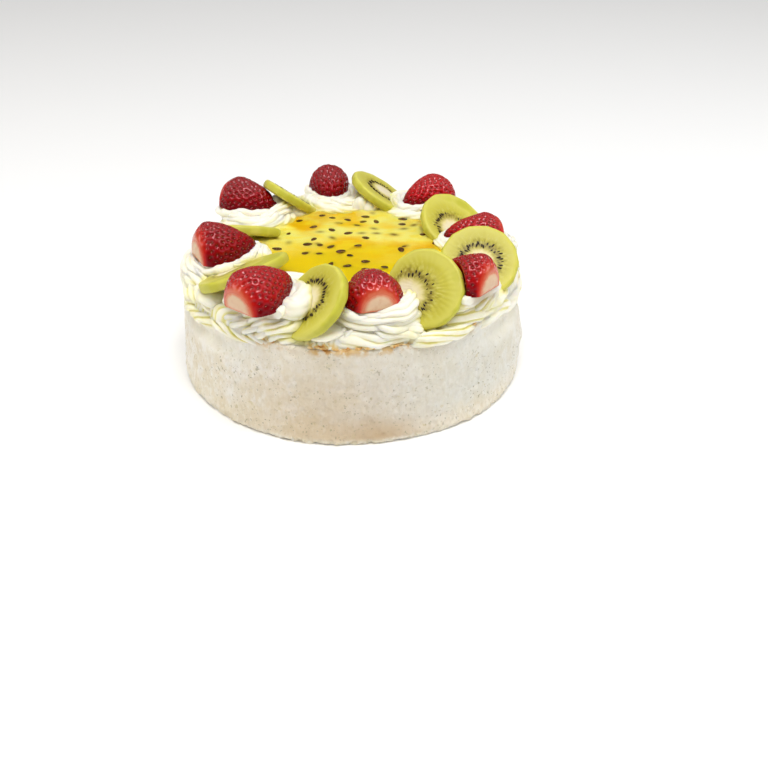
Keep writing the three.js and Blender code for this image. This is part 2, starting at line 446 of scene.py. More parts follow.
def seed_shape(length, width, height, rows=7, columns=10, pointed=0.35):
    """A seed along X: an ellipsoid with one end drawn to a point."""
    t = np.linspace(0, math.pi, rows)
    around = round_angles(columns)
    girth = np.sin(t) * (1 + pointed * np.cos(t)) / (1 + 0.3 * pointed)
    x = np.repeat((-0.5 * length * np.cos(t))[:, None], columns, 1)
    y = 0.5 * width * girth[:, None] * np.cos(around)
    z = 0.5 * height * girth[:, None] * np.sin(around)
    return np.stack([x, y, z], -1).reshape(-1, 3), closed_tube(rows, columns)


# ---------- materials

def srgb(red, green, blue):
    """A colour given as 0 to 255, as the linear colour that shaders take."""
    def linear(value):
        value /= 255
        return value / 12.92 if value <= 0.04045 else ((value + 0.055) / 1.055) ** 2.4
    return (linear(red), linear(green), linear(blue), 1)


class Shader:
    """Short calls for building one material's nodes."""

    def __init__(self, name):
        self.material = bpy.data.materials.new(name)
        self.material.use_nodes = True
        self.tree = self.material.node_tree
        self.surface = self.tree.nodes["Principled BSDF"]

    def node(self, kind, inputs=None, **settings):
        made = self.tree.nodes.new(kind)
        for key, value in settings.items():
            setattr(made, key, value)
        for key, value in (inputs or {}).items():
            self.put(made.inputs[key], value)
        return made

    def put(self, socket, value):
        """Link or set an input; a colour of three numbers is given as 0 to 255."""
        if isinstance(value, bpy.types.NodeSocket):
            self.tree.links.new(value, socket)
        elif socket.type == "RGBA" and len(value) == 3:
            socket.default_value = srgb(*value)
        else:
            socket.default_value = value

    def set(self, **values):
        for key, value in values.items():
            self.put(self.surface.inputs[key.replace("_", " ")], value)

    def place(self):
        return self.node("ShaderNodeTexCoord").outputs["Object"]

    def layer(self, name):
        return self.node("ShaderNodeAttribute", attribute_name=name).outputs["Fac"]

    def sum(self, operation, a, b, clamp=False):
        return self.node("ShaderNodeMath", {0: a, 1: b}, operation=operation, use_clamp=clamp).outputs[0]

    def times(self, a, b, clamp=False):
        return self.sum("MULTIPLY", a, b, clamp)

    def uneven(self, value, place, size, detail, strength):
        """A value, made to waver by noise."""
        waver = self.times(self.sum("SUBTRACT", self.noise(place, size, detail), 0.5), strength)
        return self.sum("ADD", value, waver)

    def noise(self, place, size, detail=3.0, rough=0.55):
        """Noise from 0 to 1 whose hills are about a size apart, in millimetres."""
        inputs = {"Vector": place, "Scale": 1 / (size * MM), "Detail": detail, "Roughness": rough}
        return self.node("ShaderNodeTexNoise", inputs).outputs["Fac"]

    def stretch(self, place, x, y, z):
        return self.node("ShaderNodeVectorMath", {0: place, 1: (x, y, z)}, operation="MULTIPLY").outputs[0]

    def window(self, value, low, high):
        """0 below low, 1 above high; low may be the larger."""
        inputs = {"Value": value, "From Min": low, "From Max": high, "To Min": 0.0, "To Max": 1.0}
        return self.node("ShaderNodeMapRange", inputs, interpolation_type="SMOOTHSTEP").outputs["Result"]

    def mix(self, factor, a, b):
        return self.node("ShaderNodeMix", {0: factor, 6: a, 7: b}, data_type="RGBA").outputs[2]

    def over(self, colour, mask, strength, added):
        """A colour with another laid over it where a mask says."""
        return self.mix(self.times(mask, strength), colour, added)

    def ramp(self, factor, stops):
        made = self.node("ShaderNodeValToRGB", {"Fac": factor})
        elements = made.color_ramp.elements
        while len(elements) < len(stops):
            elements.new(1.0)
        for element, (position, colour) in zip(elements, stops):
            element.position = position
            element.color = srgb(*colour)
        return made.outputs["Color"]

    def bump(self, height, distance, strength=1.0, below=None):
        inputs = {"Height": height, "Distance": distance * MM, "Strength": strength}
        if below is not None:
            inputs["Normal"] = below
        return self.node("ShaderNodeBump", inputs).outputs["Normal"]


def toned(name, size, detail, dark, light, **values):
    """A material whose colour wanders between two tones."""
    s = Shader(name)
    s.set(Base_Color=s.mix(s.noise(s.place(), size, detail), dark, light), **values)
    return s


def scatter_light(shader, weight, radius, scale):
    """Light that goes under the surface and comes out again near by."""
    shader.set(Subsurface_Weight=weight, Subsurface_Radius=radius, Subsurface_Scale=scale * MM)


def meringue_material():
    s = Shader("meringue")
    place = s.place()
    cloudy = s.noise(s.stretch(place, 1, 1, 0.7), 9, 5.0, 0.62)
    streaks = s.noise(s.stretch(place, 1, 1, 0.14), 3.0, 3.0, 0.6)
    grains = s.noise(s.stretch(place, 1, 1, 0.6), 2.2, 4.0, 0.65)
    stops = [(0.36, (234, 223, 198)), (0.5, (240, 232, 214)), (0.64, (244, 240, 230))]
    colour = s.ramp(s.noise(place, 42, 2.0), stops)
    colour = s.over(colour, s.window(cloudy, 0.46, 0.62), 0.75, (250, 247, 240))
    colour = s.over(colour, s.window(streaks, 0.52, 0.75), 0.2, (222, 204, 170))
    colour = s.over(colour, s.window(grains, 0.5, 0.38), 0.3, (214, 202, 174))
    colour = s.over(colour, s.window(grains, 0.54, 0.66), 0.5, (253, 251, 245))
    height = s.node("ShaderNodeSeparateXYZ", {0: place}).outputs["Z"]
    # beige patches near the foot: partly the wall's own tone, partly painted warm bounce light from below
    low = s.times(s.window(height, 0.02, 0.002), s.window(cloudy, 0.36, 0.6))
    colour = s.over(colour, low, 0.3, (232, 218, 180))
    # painted shade: the wall's front side darker and browner, most near the foot
    colour = s.mix(s.times(s.layer("painted_front_shade"), 0.8, True), colour, (206, 181, 147))
    # painted light: a cooler, greyer tint on the right-hand front of the wall, where the light is cooler
    colour = s.over(colour, s.layer("painted_cool_side"), 0.6, (221, 221, 212))
    cluster = s.window(s.noise(place, 17, 2.0), 0.36, 0.62)
    for size, cutoff, tint, strength in (
        (2.3, 0.68, (172, 162, 128), 0.7),
        (1.4, 0.68, (148, 140, 110), 0.7),
        (4.2, 0.69, (204, 190, 142), 0.5),
    ):
        fleck = s.window(s.noise(place, size, 1.0, 0.4), cutoff, cutoff + 0.045)
        colour = s.over(colour, s.times(fleck, cluster), strength, tint)
    colour = s.over(colour, s.layer("smeared"), 0.7, (248, 244, 230))
    toast = s.times(s.layer("toast"), s.window(s.noise(place, 5, 4.0), 0.38, 0.6), clamp=True)
    colour = s.mix(s.window(toast, 0.0, 0.6), colour, (220, 188, 134))
    colour = s.mix(s.window(toast, 0.55, 1.0), colour, (192, 128, 56))
    s.set(Base_Color=colour, Roughness=0.85, Specular_IOR_Level=0.2)
    scatter_light(s, 0.35, (1.0, 0.85, 0.65), 2.4)
    pores = s.window(s.noise(place, 1.3, 2.0), 0.6, 0.72)
    relief = s.sum("SUBTRACT", s.noise(place, 0.8, 4.0, 0.7), s.times(pores, 0.7))
    rough = s.bump(s.noise(place, 2.6, 3.0, 0.6), 1.1, 0.65)
    s.set(Normal=s.bump(relief, 0.4, 0.8, rough))
    return s.material


def cream_material():
    s = Shader("whipped_cream")
    place = s.place()
    colour = s.ramp(s.noise(place, 14, 3.0), [(0.3, (252, 243, 220)), (0.7, (254, 249, 234))])
    # yellow from the fruit's juices near the fruit, and painted yellowish shade in the valleys of the piping
    juice_and_crease_shade = s.uneven(s.layer("juice_and_crease_shade"), place, 5, 3.0, 0.5)
    colour = s.mix(s.window(juice_and_crease_shade, 0.05, 0.75), colour, (240, 231, 160))
    colour = s.mix(s.window(juice_and_crease_shade, 0.62, 1.1), colour, (212, 204, 88))
    toast = s.times(s.layer("toast"), s.window(s.noise(place, 4, 3.0), 0.36, 0.56))
    colour = s.mix(s.window(toast, 0.12, 0.5), colour, (232, 200, 128))
    colour = s.mix(s.window(toast, 0.5, 0.9), colour, (198, 132, 50))
    s.set(Base_Color=colour, Roughness=0.42, Specular_IOR_Level=0.4)
    scatter_light(s, 0.6, (1.0, 0.85, 0.55), 4.0)
    s.set(Normal=s.bump(s.noise(place, 1.6, 3.0), 0.14, 0.5))
    return s.material


def berry_material():
    s = Shader("strawberry")
    place = s.place()
    cloudy = s.noise(place, 8, 3.0)
    ripe = s.mix(cloudy, (132, 1, 8), (156, 6, 14))
    bright = s.mix(cloudy, (180, 8, 12), (202, 22, 22))
    skin = s.mix(s.layer("ripe"), bright, ripe)
    # painted shade in the pits round the seeds
    skin = s.over(skin, s.layer("pit"), 0.6, (96, 2, 6))
    # darker, deeper red towards the cut face: partly the skin's own colour, partly painted shade
    skin = s.over(skin, s.layer("low"), 0.85, (94, 0, 4))
    pale = s.uneven(s.layer("pale"), place, 4, 3.0, 0.35)
    blush = s.ramp(pale, [
        (0.2, (170, 12, 12)),
        (0.55, (186, 30, 20)),
        (0.8, (200, 66, 42)),
        (1.0, (212, 112, 80)),
    ])
    skin = s.mix(s.window(pale, 0.12, 0.5), skin, blush)
    veins = s.window(s.noise(place, 3.4, 3.0), 0.42, 0.72)
    flesh = s.over((226, 196, 162), veins, 0.4, (212, 160, 124))
    edge = s.uneven(s.layer("rim"), place, 3, 2.0, 0.5)
    flesh = s.mix(s.window(edge, 0.25, 1.05), flesh, (214, 118, 84))
    cut = s.layer("cut")
    dull = s.node("ShaderNodeMapRange", {"Value": cut, "To Min": 0.13, "To Max": 0.42}).outputs[0]
    s.set(Base_Color=s.mix(cut, skin, flesh), Roughness=dull, IOR=1.42)
    s.set(Specular_Tint=(1.0, 0.34, 0.42, 1.0))
    s.set(Coat_Weight=s.times(s.layer("high"), 0.56), Coat_Roughness=0.1, Coat_IOR=1.6)
    scatter_light(s, 0.1, (1.0, 0.2, 0.12), 1.6)
    return s.material


def berry_seed_material():
    tones = (104, 14, 10), (168, 84, 40)
    return toned("strawberry_seeds", 3, 2.0, *tones, Roughness=0.3, Coat_Weight=0.4).material


def kiwi_material():
    s = Shader("kiwi")
    place = s.place()
    reach = s.layer("reach")
    level = s.node("ShaderNodeCombineXYZ", {0: s.layer("core_x"), 1: s.layer("core_y"), 2: 0.0}).outputs[0]
    spoke = s.node("ShaderNodeVectorMath", {0: level}, operation="NORMALIZE").outputs[0]
    along = s.node("ShaderNodeCombineXYZ", {2: s.times(reach, 0.9)}).outputs[0]
    rays = s.node("ShaderNodeVectorMath", {0: spoke, 1: along}, operation="ADD").outputs[0]
    fine = s.node("ShaderNodeTexNoise", {"Vector": rays, "Scale": 9.0, "Detail": 3.0}).outputs["Fac"]
    broad = s.node("ShaderNodeTexNoise", {"Vector": rays, "Scale": 4.0, "Detail": 1.0}).outputs["Fac"]
    waver = s.times(s.sum("SUBTRACT", broad, 0.5), 0.12)
    flesh = s.ramp(s.sum("ADD", reach, waver), [
        (0.20, (232, 222, 188)),
        (0.30, (222, 210, 150)),
        (0.37, (186, 174, 84)),
        (SEED_REACH, (156, 140, 50)),
        (0.58, (188, 178, 60)),
        (0.78, (199, 191, 72)),
        (0.93, (208, 202, 92)),
        (1.0, (192, 189, 62)),
    ])
    pale_zone = s.times(s.window(reach, 0.26, 0.38), s.window(reach, 0.96, 0.6))
    flesh = s.over(flesh, s.times(pale_zone, s.window(fine, 0.53, 0.68)), 0.6, (204, 199, 102))
    dark_zone = s.times(s.window(reach, 0.34, 0.42), s.window(reach, 0.72, 0.5))
    flesh = s.over(flesh, s.times(dark_zone, s.window(fine, 0.5, 0.36)), 0.7, (112, 102, 26))
    s.set(Base_Color=flesh, Roughness=0.42, Specular_IOR_Level=0.3)
    scatter_light(s, 0.5, (1.0, 0.95, 0.28), 3.6)
    relief = s.sum("ADD", fine, s.times(s.noise(place, 1.2, 3.0), 0.5))
    s.set(Normal=s.bump(relief, 0.14, 0.4))
    return s.material


def kiwi_seed_material():
    tones = (24, 15, 6), (58, 38, 14)
    return toned("kiwi_seeds", 2, 2.0, *tones, Roughness=0.35, Specular_IOR_Level=0.3).material


def pulp_material():
    s = Shader("passionfruit_pulp")
    place = s.place()
    blotch = s.noise(s.stretch(place, 1, 1.5, 1), 13, 3.0)
    golden = s.mix(s.window(blotch, 0.4, 0.65), (246, 197, 28), (254, 226, 62))
    pale = s.mix(s.window(blotch, 0.35, 0.6), (255, 241, 140), (255, 249, 192))
    colour = s.mix(s.layer("swirl"), golden, pale)
    colour = s.mix(s.layer("deep"), colour, (250, 220, 0))
    colour = s.mix(s.layer("smudge"), colour, (92, 52, 14))
    s.set(Base_Color=colour, Roughness=0.4, Specular_IOR_Level=0.0)
    scatter_light(s, 0.3, (1.0, 0.8, 0.12), 2.5)
    return s.material


def jelly_material():
    tones = (255, 246, 150), (255, 250, 178)
    s = toned("passionfruit_jelly", 16, 2.0, *tones, Roughness=0.04, Transmission_Weight=1.0, IOR=1.22)
    s.set(Normal=s.bump(s.noise(s.place(), 5, 2.0), 0.25, 0.35))
    return s.material


def pip_material():
    tones = (48, 20, 8), (104, 52, 18)
    return toned("passionfruit_pips", 4, 2.0, *tones, Roughness=0.22, Coat_Weight=0.4).material


def flake_material():
    s = Shader("toasted_flakes")
    place = s.place()
    stops = [(0.36, (240, 222, 180)), (0.52, (224, 184, 112)), (0.68, (190, 116, 40))]
    s.set(Base_Color=s.ramp(s.noise(place, 3, 3.0), stops), Roughness=0.6)
    scatter_light(s, 0.2, (1.0, 0.6, 0.3), 1.0)
    s.set(Normal=s.bump(s.noise(place, 0.7, 3.0), 0.15, 0.6))
    return s.material


def floor_material():
    tones = (250, 250, 250), (252, 252, 252)
    return toned("studio_floor", 400, 2.0, *tones, Roughness=0.9, Specular_IOR_Level=0.1).material


# ---------- meringue

def drum_profile():
    """Heights of the drum's levels, and the wall's radius at each for even steps of angle."""
    points = node_points("meringue_base")
    points = points[reach_of(points) > SPREAD_INNER]
    reach = reach_of(points)
    angles = round_angles(WALL_COLUMNS)
    heights = sorted(set(points[:, 2].round(1)))
    smooth = np.hanning(WALL_SMOOTH)
    half = WALL_SMOOTH // 2
    rows = []
    for height in heights:
        at = abs(points[:, 2] - height) < 0.1
        turn = np.arctan2(points[at, 1], points[at, 0])
        row = np.interp(angles, turn, reach[at], period=TAU)
        padded = np.r_[row[-half:], row, row[:half]]
        rows.append(np.convolve(padded, smooth / smooth.sum(), "valid"))
    return np.array(heights), angles, np.array(rows)


def wall_radius(heights, angles, rows, height):
    """The smoothed wall's radius at one height, for every angle."""
    place = np.interp(height, heights, np.arange(len(heights)))
    low = min(int(place), len(heights) - 2)
    return rows[low] + (place - low) * (rows[low + 1] - rows[low])


def wall_outline(top):
    """Height and inset of each level of the wall, with a rounded foot and rim."""
    rim, foot = RIM_ROUND, FOOT_ROUND
    bend = np.linspace(0, math.pi / 2, 8)
    low = [(foot - foot * math.cos(b), -foot + foot * math.sin(b)) for b in bend[:-1]]
    body = [(z, 0.0) for z in np.linspace(foot, top - rim, WALL_ROWS)]
    high = [(top - rim + rim * math.sin(b), -rim + rim * math.cos(b)) for b in bend[1:]]
    return np.array(low + body + high).T[:, :, None]


def wall_relief(place, height, smeared):
    """How far bumps, pits and crumbs stand out from the wall; cream smeared over it fills the pits."""
    bumps = 0.8 * layered_noise(place, 13, 3, 4)
    bumps += 0.22 * noise(place * [1, 1, 0.2], 5, 31) + 0.2 * layered_noise(place, 2.4, 33, 2)
    pits = step_between(0.35, 0.8, noise(place, 2.4, 8)) + 0.8 * step_between(0.4, 0.8, noise(place, 1.4, 9))
    crumb = (0.5 + 1.5 * step_between(8, 0, height)) * layered_noise(place, 3.2, 12, 2)
    return bumps - WALL_PIT_DEPTH * pits * (1 - 0.8 * smeared) + crumb


def painted_wall_shade(angles, place, height):
    """How much painted shade darkens the wall at each point, 0 to 1: the side that faces the front is darker
    and browner, most near the foot.
    """
    painted_low_shade = near_bearing(angles, 280, 10) * step_between(2, 5, height)
    painted_low_shade = painted_low_shade * step_between(23, 12, height + 4 * noise(place, 9, 24))
    painted_front_shade = near_bearing(angles, 267, 29) * step_between(2, 6, height)
    return painted_front_shade * (0.5 + 0.3 * step_between(40, 6, height)) + 0.5 * painted_low_shade


def make_meringue(material):
    heights, angles, rows = drum_profile()
    top = heights[-1]
    height, inset = wall_outline(top)
    levels = np.clip(height[:, 0], 5, top - 4)
    radius = np.array([wall_radius(heights, angles, rows, level) for level in levels])
    radius = radius + inset - WALL_INSET
    radius = radius - 1.3 * step_between(5, 0, height)
    ring = circle(angles)
    place = 109 * ring + height[..., None] * [0, 0, 1]
    sides = abs(wrapped(angles - math.radians(WALL_FRONT)))
    sides = step_between(math.radians(34), math.radians(52), sides)
    smeared = step_between(top - 26, top - 14, height + 4 * noise(place, 16, 18)) * (0.35 + 0.65 * sides)
    radius = radius + wall_relief(place, height, smeared)
    edge = step_between(top - 7, top - 1, height)
    radius = radius + 0.8 * edge * layered_noise(place, 5, 14, 3)
    radius = radius - 3.0 * sides * step_between(top - 20, top - 12, height)
    rise = np.clip(height + 0.7 * edge * layered_noise(place, 6, 15, 3) - 0.3, 0, None)
    layers = {
        "toast": edge * toast_at(angles) * (1 - sides),
        "painted_front_shade": painted_wall_shade(angles, place, height),
        "painted_cool_side": near_bearing(angles, 312, 34) * step_between(4, 20, height),
        "smeared": smeared,
    }
    points = ring * radius[..., None] + rise[..., None] * [0, 0, 1]
    points = np.concatenate([points, points[-1:] * [0.9, 0.9, 1]])
    layers = {key: np.r_[values, [0 * angles]] for key, values in layers.items()}
    faces = closed_tube(len(points), len(angles))
    add_piece("meringue_wall", points, faces, material, "meringue", None, layers, ["meringue_base"])


# ---------- cream

def rope(path, radii, ridges, depth, twist, seed):
    """A piped rope: a star-shaped section swept along a path, with rounded ends."""
    length = np.r_[0, np.cumsum(np.linalg.norm(np.diff(path, axis=0), axis=1))]
    ahead = unit(np.gradient(path, axis=0))
    side = unit(np.cross(ahead, [0, 0, 1]))
    lift = np.cross(side, ahead)
    share = length / length[-1]
    ends = np.minimum(length, length[-1] - length) / (1.3 * radii.mean())
    radii = radii * (0.03 + 0.97 * np.sqrt(1 - (1 - np.clip(ends, 0, 1)) ** 2))
    around = round_angles(ROPE_AROUND)
    across = np.cos(around)[None, :, None] * side[:, None] + np.sin(around)[None, :, None] * lift[:, None]
    rough = path[:, None] + radii[:, None, None] * across
    turned = around[None, :] + twist * share[:, None] + 0.5 * noise(rough, 14, seed + 3)
    lobes = abs(np.cos(0.5 * ridges * turned)) ** 0.62
    depth = depth * (1 + 0.7 * noise(rough, 8, seed))
    reach = radii[:, None] * (1 - depth * (1 - lobes)) * (1 + 0.08 * layered_noise(rough, 10, seed + 5))
    points = path[:, None] + reach[..., None] * across
    points = points + 1.3 * shaken(rough, 13, range(seed + 61, seed + 64))
    return points + 0.25 * shaken(rough, 3.5, range(seed + 64, seed + 67)), lobes


def arc_turns(start, end, out):
    """Shares from 0 to 1 along an arc between two bearings, and the angle at each."""
    arc = math.radians(end - start)
    s = np.linspace(0, 1, int(arc * out / ROPE_STEP))
    return s, math.radians(start) + arc * s


def swirl_rope(centre, top, number):
    """A rosette: one rope wound upward round a centre, and inward at its end."""
    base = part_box(f"rosette_{number}")[0][2] / MM
    rng = np.random.default_rng(40 + number)
    spin = 1 if number % 3 else -1
    wide = SWIRL_RADIUS - ROPE_THICK
    steps = int(TAU * SWIRL_TURNS * 0.85 * wide / ROPE_STEP)
    s = np.linspace(0, 1, steps)
    turn = rng.uniform(0, TAU) + spin * TAU * SWIRL_TURNS * s
    out = wide - 4.5 * step_between(0.3, 0.65, s) - 10 * step_between(0.78, 1, s)
    thick = ROPE_THICK + (ROPE_THIN - ROPE_THICK) * s
    low = base + 0.62 * ROPE_THICK
    high = top - 0.9 * ROPE_THIN
    rise = low + (high - low) * step_between(0.12, 0.85, s)
    path = np.c_[centre[0] + out * np.cos(turn), centre[1] + out * np.sin(turn), rise]
    return rope(path, thick, SWIRL_RIDGES, 0.32, SWIRL_TWISTS[number - 1], 100 * number)


def kiwi_distance(points, kiwi):
    """How far points are from a kiwi slice."""
    local = (points - kiwi["origin"]) @ kiwi["axes"].T
    beyond = reach_of(local) - kiwi["radius"]
    return np.hypot(np.clip(beyond, 0, None), np.clip(abs(local[..., 2]) - 3, 0, None))


def juice_at(points, cream):
    """How much the fruit's juices tint the cream at each point, 0 to 1."""
    pool = cream["pool"]
    tint = 0.55 * step_between(pool + 7, pool - 2, reach_of(points))
    tint = tint * step_between(83, 76, points[..., 2])
    stains = step_between(0.0, 0.5, noise(points, 17, 8)) * step_between(82, 70, points[..., 2])
    tint = np.maximum(tint, 0.32 * stains)
    for kiwi in cream["kiwis"]:
        tint = np.maximum(tint, 0.7 * np.exp(-((kiwi_distance(points, kiwi) / 2.8) ** 2)))
    return tint


def juice_and_valley_shade(points, lobes, cream):
    """Yellow on a rope of cream: the fruit's juices near the fruit, and painted yellowish shade in its
    valleys.
    """
    # painted yellowish shade in the valleys between the ridges
    valley_shade = step_between(0.96, 0.4, lobes) * step_between(86, 70, points[..., 2])
    patches = step_between(-0.35, 0.25, noise(points, 14, 7))
    return np.maximum(juice_at(points, cream), valley_shade * (0.22 + 0.6 * patches))


def add_rope(name, points, lobes, cream, stands_for=()):
    faces = closed_tube(len(points), ROPE_AROUND)
    layers = {"juice_and_crease_shade": juice_and_valley_shade(points, lobes, cream)}
    add_piece(name, points, faces, cream["material"], "cream", None, layers, stands_for)


def add_soft(name, points, faces, cream, share):
    """A piece of smooth cream, with a share of the yellow that the fruit's juices leave."""
    layers = {"juice_and_crease_shade": share * juice_at(points, cream)}
    add_piece(name, points, faces, cream["material"], "cream", None, layers)


def make_rosettes(cream, berries):
    heaps = []
    for number, berry in enumerate(berries, 1):
        name = f"rosette_{number}"
        bottom = node_points(name)
        bottom = bottom[bottom[:, 2] < bottom[:, 2].min() + 0.3]
        centre, _ = fit_circle(bottom[:, :2], 2.2, number, 20, 32)
        top = berry["origin"][2]
        add_rope(f"cream_swirl_{number}", *swirl_rope(centre, top + 0.5, number), cream, [name])
        heaps.append(cream_heap(centre, bottom[:, 2].min(), top - 2.5, number))
    for number, (bearing, out, high, radius) in enumerate(FILLS, 1):
        turn = math.radians(bearing)
        centre = (out * math.cos(turn), out * math.sin(turn))
        points, faces = cream_heap(centre, FILL_FOOT, high, number + 10, radius)
        add_soft(f"cream_fill_{number}", points, faces, cream, 0.3)
    add_soft("cream_heaps", *joined(heaps), cream, 0.5)


def cream_heap(centre, low, high, number, radius=HEAP_RADIUS):
    """The cream that fills the middle of a rosette, or the gap between two."""
    rise = np.linspace(-math.pi / 2, math.pi / 2, HEAP_ROWS + 2)[1:-1]
    turn = round_angles(HEAP_COLUMNS)
    rr, tt = np.meshgrid(radius * np.cos(rise), turn, indexing="ij")
    zz = np.repeat(((low + high) / 2 + (high - low) / 2 * np.sin(rise))[:, None], HEAP_COLUMNS, 1)
    points = np.stack([centre[0] + rr * np.cos(tt), centre[1] + rr * np.sin(tt), zz], -1).reshape(-1, 3)
    points = points + 1.2 * shaken(points, 7, range(400 + number, 403 + number))
    return points, closed_tube(HEAP_ROWS, HEAP_COLUMNS)


def make_hugs(cream, berries):
    """Ropes of cream pressed up beside the berries."""
    for number, start, end, out, thick, lift, depth in HUGS:
        middle = berries[number - 1]["origin"]
        s, turn = arc_turns(start, end, out)
        swell = np.sin(math.pi * s)
        away = out + 1.2 * noise(np.c_[s * 50, 0 * s, 0 * s + 30 * number], 14, 77)
        rise = middle[2] + lift - 5.0 * (1 - swell) ** 1.5
        path = np.c_[middle[0] + away * np.cos(turn), middle[1] + away * np.sin(turn), rise]
        path[:, :2] *= np.minimum(1, (HUG_REACH - thick) / reach_of(path))[:, None]
        points, lobes = rope(path, thick * (0.72 + 0.28 * swell), 8, depth, 2.5, 900 + 10 * number)
        add_rope(f"cream_hug_{number}", points, lobes, cream)


def cream_folds(turn, radius, place):
    """The folds that piping left in the spread cream: 0 in the valleys and 1 on the ridges."""
    warp = 2.6 * noise(place, 26, 52) + 0.8 * noise(place, 9, 56)
    lean = 0.5 + 0.35 * noise(place, 40, 58)
    return abs(np.sin(0.5 * (turn * 76 + lean * radius + warp))) ** 0.8


def make_cream_layer(cream):
    """The cream spread over the drum, in folds left by the piping."""
    low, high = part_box("cream_layer")
    floor = low[2] / MM
    edge = high[0] / MM
    angles = round_angles(CREAM_COLUMNS)
    out, turn = np.meshgrid(np.linspace(0, 1, CREAM_ROWS), angles, indexing="ij")
    ring = circle(turn)
    rim = edge - 0.9 + 2.2 * layered_noise(ring * 106, 7, 51, 3)
    radius = SPREAD_INNER + (rim - SPREAD_INNER) * out
    place = ring * radius[..., None] + [0, 0, floor]
    middle = step_between(66, 60, radius)
    near = np.min([kiwi_distance(place + [0, 0, 6], kiwi) for kiwi in cream["kiwis"]], axis=0)
    height = SPREAD_HEIGHT * (0.3 + 0.7 * step_between(0, 9, near)) * (1 + 0.25 * noise(place, 20, 55))
    height = height + (9.5 - height) * middle
    folds = cream_folds(turn, radius, place)
    relief = (1 - middle) * (3.0 * (folds - 0.6) + 0.9 * layered_noise(place, 9, 54, 3))
    away = np.clip((rim - radius) / 5.5, 0, 1)
    dome = np.sqrt(1 - (1 - away) ** 2)
    surface = floor - 0.9 + np.clip(0.9 + height + relief, 0.8, None) * dome
    top = np.stack([place[..., 0], place[..., 1], surface], -1)
    last = top[-1] * [1, 1, 0] + [0, 0, floor - 0.9]
    points = np.concatenate([top, [last, last * [0.94, 0.94, 1]]])
    lobes = np.ones(points.shape[:2])
    lobes[:-2] = folds + middle
    toast = toast_at(angles) * step_between(0.975, 0.995, reach_of(points) / rim[0])
    toast = toast * step_between(floor + 4, floor + 1, points[..., 2])
    layers = {"juice_and_crease_shade": juice_and_valley_shade(points, lobes, cream), "toast": toast}
    faces = closed_tube(len(points), CREAM_COLUMNS)
    add_piece("cream_spread", points, faces, cream["material"], "cream", None, layers, ["cream_layer"])


def kept_in(points):
    """Points of cream, brought back to where the cream ends."""
    inside = np.minimum(1, EDGE_REACH / reach_of(points))
    return points * np.stack([inside, inside, np.ones_like(inside)], -1)


def make_lips(cream):
    """Ropes of cream that lie along the rim below the rosettes."""
    for number, lip in enumerate(LIPS, 1):
        start, end, out, up, thick, depth, twist, ridges = lip
        s, turn = arc_turns(start, end, out)
        swell = np.sin(math.pi * s)
        wave = noise(np.c_[s * 60, 0 * s, 0 * s + 30 * number], 15, 78)
        away = out + 1.2 * wave - 3.5 * (1 - swell) ** 2
        path = np.c_[away * np.cos(turn), away * np.sin(turn), up + 0.8 * wave - 1.5 * (1 - swell) ** 2]
        radii = thick * (0.78 + 0.22 * swell)
        points, lobes = rope(path, radii, ridges, depth, twist, 1500 + 10 * number)
        add_rope(f"cream_lip_{number}", kept_in(points), lobes, cream)


def berry_outline(berry, count):
    """Points evenly spaced round a berry's cut face, with the directions that point out of it."""
    t = np.r_[np.linspace(0, 1, 200) ** 1.3, 1 - np.linspace(0, 1, 200)[1:] ** 0.8]
    t = np.clip(t, 0, 1)
    side = np.r_[np.ones(200), -np.ones(199)]
    line = np.c_[berry["length"] * (0.5 - t), side * 0.5 * berry["width"] * girth(t, berry["point"])]
    line = np.r_[line, line[:1]]
    length = np.r_[0, np.cumsum(np.linalg.norm(np.diff(line, axis=0), axis=1))]
    at = np.arange(count) / count * length[-1]
    line = np.c_[np.interp(at, length, line[:, 0]), np.interp(at, length, line[:, 1])]
    for _ in range(3):
        line = (np.roll(line, 1, axis=0) + 2 * line + np.roll(line, -1, axis=0)) / 4
    ahead = np.roll(line, -1, axis=0) - np.roll(line, 1, axis=0)
    out = np.c_[ahead[:, 1], -ahead[:, 0]]
    out *= np.sign((out * line).sum(1).sum())
    return line, unit(out)


def make_collars(cream, berries):
    """Soft lips of cream that rise round each berry where it was pressed in."""
    count, sides = COLLAR_POINTS, COLLAR_SIDES
    last = (count - 1) * sides
    joint = [[last + i, last + (i + 1) % sides, (i + 1) % sides, i] for i in range(sides)]
    faces = grid_faces(count, sides) + joint
    around = round_angles(sides)[None, :, None]
    for number, berry in enumerate(berries, 1):
        line, out = berry_outline(berry, count)
        place = np.c_[line, np.full(count, number * 40.0)]
        hull = step_between(0.3, 0.48, line[:, 0] / berry["length"])
        radii = (2.5 + 1.0 * layered_noise(place, 8, 73, 3)) * (1 - 0.3 * hull)
        height = -1.7 + 1.7 * layered_noise(place, 9, 71, 3) - 1.0 * hull
        away = 0.25 + 0.7 * layered_noise(place, 7, 72, 2)
        path = np.c_[line + out * away[:, None], height]
        across = np.cos(around) * np.c_[out, np.zeros(count)][:, None] + np.sin(around) * [0, 0, 1]
        points = path[:, None] + radii[:, None, None] * across
        points = points + 0.4 * shaken(points + 40 * number, 2.6, (74, 75, 76))
        points = kept_in(points.reshape(-1, 3) @ berry["axes"] + berry["origin"])
        add_soft(f"cream_collar_{number}", points, faces, cream, 0.5)


# ---------- strawberries

def girth(t, point):
    """A berry's girth from its hull end at 0 to its tip at 1; a higher point makes it a cone."""
    shoulder = 0.62 + 0.38 * np.sin(0.5 * math.pi * np.minimum(1, t / 0.3))
    taper = np.power(np.clip(1 - np.power(t, 2.3), 0, 1), 0.62)
    cone = np.power(np.clip(1 - np.power(t, 1.7), 0, 1), 0.72)
    return shoulder * ((1 - point) * taper + point * cone)


